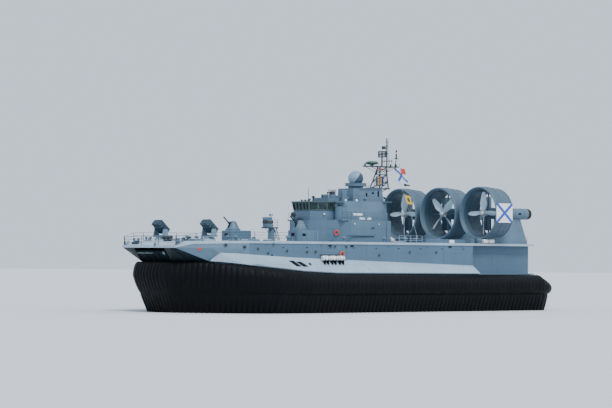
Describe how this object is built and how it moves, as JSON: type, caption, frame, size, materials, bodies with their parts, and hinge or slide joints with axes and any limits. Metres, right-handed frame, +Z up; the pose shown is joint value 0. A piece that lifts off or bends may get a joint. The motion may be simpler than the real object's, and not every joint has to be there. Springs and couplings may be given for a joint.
{
  "type": "half-size model of a military amphibious hovercraft",
  "caption": "Armed landing hovercraft on a black rubber skirt, with stern ducted propellers on pylons, a stepped bridge, lattice mast, gun mounts and rocket launchers.",
  "frame": {"origin": "on the floor below the middle of the craft's overall length and beam", "axes": "+Y aft, +X to port, +Z up; the bow faces -Y"},
  "size_m": [12.8, 28.6239, 10.95],
  "materials": {
    "hull_paint": "satin blue-grey sea paint on the hull sides",
    "house_paint": "satin blue-grey paint on the deckhouses, ducts and pylons",
    "light_paint": "light grey paint on the sloped side plates",
    "deck_paint": "matt grey non-slip deck paint",
    "dark_paint": "near-black paint on the bow face, launchers, mast and barrels",
    "skirt_rubber": "matt black rubberised fabric with grey scuffs",
    "blade_metal": "pale blue-grey painted alloy blades and bare spinner",
    "dome_plastic": "smooth grey radar dome",
    "green_plastic": "dark green antenna cover",
    "bridge_glass": "dark green tinted bridge glazing"
  },
  "bodies": {
    "hull": {"pontoon": "dark_paint", "hull_side_port": "hull_paint", "hull_side_starboard": "hull_paint", "bow_cheek_port": "dark_paint", "bow_cheek_starboard": "dark_paint", "main_deck": "deck_paint", "side_shield_port": "light_paint", "side_shield_starboard": "light_paint", "aft_side_deck_port": "hull_paint", "aft_side_deck_starboard": "hull_paint", "skirt_bow_port": "skirt_rubber", "skirt_bow_starboard": "skirt_rubber", "skirt_bow_centre": "skirt_rubber", "skirt_side_port": "skirt_rubber", "skirt_side_starboard": "skirt_rubber", "skirt_stern": "skirt_rubber", "cushion_divider": "skirt_rubber", "superstructure_lower": "house_paint", "wheelhouse": "house_paint", "wheelhouse_roof": "house_paint", "wheelhouse_glass": "bridge_glass", "superstructure_aft": "house_paint", "superstructure_upper": "house_paint", "mast": "dark_paint", "sighting_cabin": "house_paint", "gun_deckhouse_port": "house_paint", "gun_deckhouse_starboard": "house_paint", "fan_intake_port": "hull_paint", "fan_intake_starboard": "hull_paint", "duct_port": "house_paint", "pylon_port": "house_paint", "duct_middle": "house_paint", "pylon_middle": "house_paint", "duct_starboard": "house_paint", "pylon_starboard": "house_paint"},
    "bow_ramp": {"bow_ramp": "dark_paint"},
    "stern_ramp": {"stern_ramp": "hull_paint"},
    "radar_ball": {"radar_ball": "dome_plastic"},
    "oval_antenna": {"oval_antenna": "green_plastic"},
    "array_antenna": {"array_antenna": "dark_paint"},
    "propeller_port": {"propeller_port": "blade_metal"},
    "propeller_middle": {"propeller_middle": "blade_metal"},
    "propeller_starboard": {"propeller_starboard": "blade_metal"},
    "rudder_port_left": {"rudder_port_left": "house_paint"},
    "rudder_port_right": {"rudder_port_right": "house_paint"},
    "rudder_middle_left": {"rudder_middle_left": "house_paint"},
    "rudder_middle_right": {"rudder_middle_right": "house_paint"},
    "rudder_starboard_left": {"rudder_starboard_left": "house_paint"},
    "rudder_starboard_right": {"rudder_starboard_right": "house_paint"},
    "gun_turret_port": {"gun_turret_port": "house_paint"},
    "gun_turret_starboard": {"gun_turret_starboard": "house_paint"},
    "gun_barrels_port": {"gun_barrels_port": "dark_paint"},
    "gun_barrels_starboard": {"gun_barrels_starboard": "dark_paint"},
    "launcher_fork_port": {"launcher_fork_port": "dark_paint"},
    "launcher_fork_starboard": {"launcher_fork_starboard": "dark_paint"},
    "launcher_box_port": {"launcher_box_port": "dark_paint"},
    "launcher_box_starboard": {"launcher_box_starboard": "dark_paint"}
  },
  "joints": [
    {"name": "bow_ramp_hinge", "type": "hinge", "parent": "hull", "child": "bow_ramp", "pos_m": [0, -12.325, 1.925], "axis": [1, 0, 0], "range_deg": [0, 65], "deforming": ["skirt_bow_centre"]},
    {"name": "stern_ramp_hinge", "type": "hinge", "parent": "hull", "child": "stern_ramp", "pos_m": [0, 13.575, 1.89], "axis": [-1, 0, 0], "range_deg": [0, 110]},
    {"name": "radar_ball_train", "type": "hinge", "parent": "hull", "child": "radar_ball", "pos_m": [0, 2.05, 8.3], "axis": [0, 0, 1], "continuous": true},
    {"name": "oval_antenna_spin", "type": "hinge", "parent": "hull", "child": "oval_antenna", "pos_m": [0, 3.425, 9.325], "axis": [0, 0, 1], "continuous": true},
    {"name": "array_antenna_spin", "type": "hinge", "parent": "hull", "child": "array_antenna", "pos_m": [0, 4.285, 9.7], "axis": [0, 0, 1], "continuous": true},
    {"name": "propeller_port_spin", "type": "hinge", "parent": "hull", "child": "propeller_port", "pos_m": [3.725, 9.725, 6.2], "axis": [0, 1, 0], "continuous": true},
    {"name": "propeller_middle_spin", "type": "hinge", "parent": "hull", "child": "propeller_middle", "pos_m": [0, 9.725, 6.2], "axis": [0, 1, 0], "continuous": true},
    {"name": "propeller_starboard_spin", "type": "hinge", "parent": "hull", "child": "propeller_starboard", "pos_m": [-3.725, 9.725, 6.2], "axis": [0, 1, 0], "continuous": true},
    {"name": "rudder_port_left_swing", "type": "hinge", "parent": "hull", "child": "rudder_port_left", "pos_m": [4.525, 10.575, 6.2], "axis": [0, 0, 1], "range_deg": [-30, 30]},
    {"name": "rudder_port_right_swing", "type": "hinge", "parent": "hull", "child": "rudder_port_right", "pos_m": [2.925, 10.575, 6.2], "axis": [0, 0, 1], "range_deg": [-30, 30]},
    {"name": "rudder_middle_left_swing", "type": "hinge", "parent": "hull", "child": "rudder_middle_left", "pos_m": [0.8, 10.575, 6.2], "axis": [0, 0, 1], "range_deg": [-30, 30]},
    {"name": "rudder_middle_right_swing", "type": "hinge", "parent": "hull", "child": "rudder_middle_right", "pos_m": [-0.8, 10.575, 6.2], "axis": [0, 0, 1], "range_deg": [-30, 30]},
    {"name": "rudder_starboard_left_swing", "type": "hinge", "parent": "hull", "child": "rudder_starboard_left", "pos_m": [-2.925, 10.575, 6.2], "axis": [0, 0, 1], "range_deg": [-30, 30]},
    {"name": "rudder_starboard_right_swing", "type": "hinge", "parent": "hull", "child": "rudder_starboard_right", "pos_m": [-4.525, 10.575, 6.2], "axis": [0, 0, 1], "range_deg": [-30, 30]},
    {"name": "launcher_port_train", "type": "hinge", "parent": "hull", "child": "launcher_fork_port", "pos_m": [2.35, -11.55, 4.36], "axis": [0, 0, 1], "range_deg": [-60, 60]},
    {"name": "launcher_port_elevate", "type": "hinge", "parent": "launcher_fork_port", "child": "launcher_box_port", "pos_m": [2.35, -11.55, 5.075], "axis": [-1, 0, 0], "range_deg": [-42, 13]},
    {"name": "gun_port_train", "type": "hinge", "parent": "hull", "child": "gun_turret_port", "pos_m": [3.2, -5.3, 4.985], "axis": [0, 0, 1], "range_deg": [-150, 150]},
    {"name": "gun_port_elevate", "type": "hinge", "parent": "gun_turret_port", "child": "gun_barrels_port", "pos_m": [3.2, -5.425, 5.225], "axis": [-1, 0, 0], "range_deg": [-39, 20]},
    {"name": "launcher_starboard_train", "type": "hinge", "parent": "hull", "child": "launcher_fork_starboard", "pos_m": [-2.35, -11.55, 4.36], "axis": [0, 0, 1], "range_deg": [-60, 60]},
    {"name": "launcher_starboard_elevate", "type": "hinge", "parent": "launcher_fork_starboard", "child": "launcher_box_starboard", "pos_m": [-2.35, -11.55, 5.075], "axis": [-1, 0, 0], "range_deg": [-42, 13]},
    {"name": "gun_starboard_train", "type": "hinge", "parent": "hull", "child": "gun_turret_starboard", "pos_m": [-3.2, -5.3, 4.985], "axis": [0, 0, 1], "range_deg": [-150, 150]},
    {"name": "gun_starboard_elevate", "type": "hinge", "parent": "gun_turret_starboard", "child": "gun_barrels_starboard", "pos_m": [-3.2, -5.425, 5.225], "axis": [-1, 0, 0], "range_deg": [-39, 20]}
  ],
  "couplings": [
    {"joint": "rudder_port_right_swing", "follows": "rudder_port_left_swing", "ratio": 1},
    {"joint": "rudder_middle_left_swing", "follows": "rudder_port_left_swing", "ratio": 1},
    {"joint": "rudder_middle_right_swing", "follows": "rudder_port_left_swing", "ratio": 1},
    {"joint": "rudder_starboard_left_swing", "follows": "rudder_port_left_swing", "ratio": 1},
    {"joint": "rudder_starboard_right_swing", "follows": "rudder_port_left_swing", "ratio": 1}
  ]
}
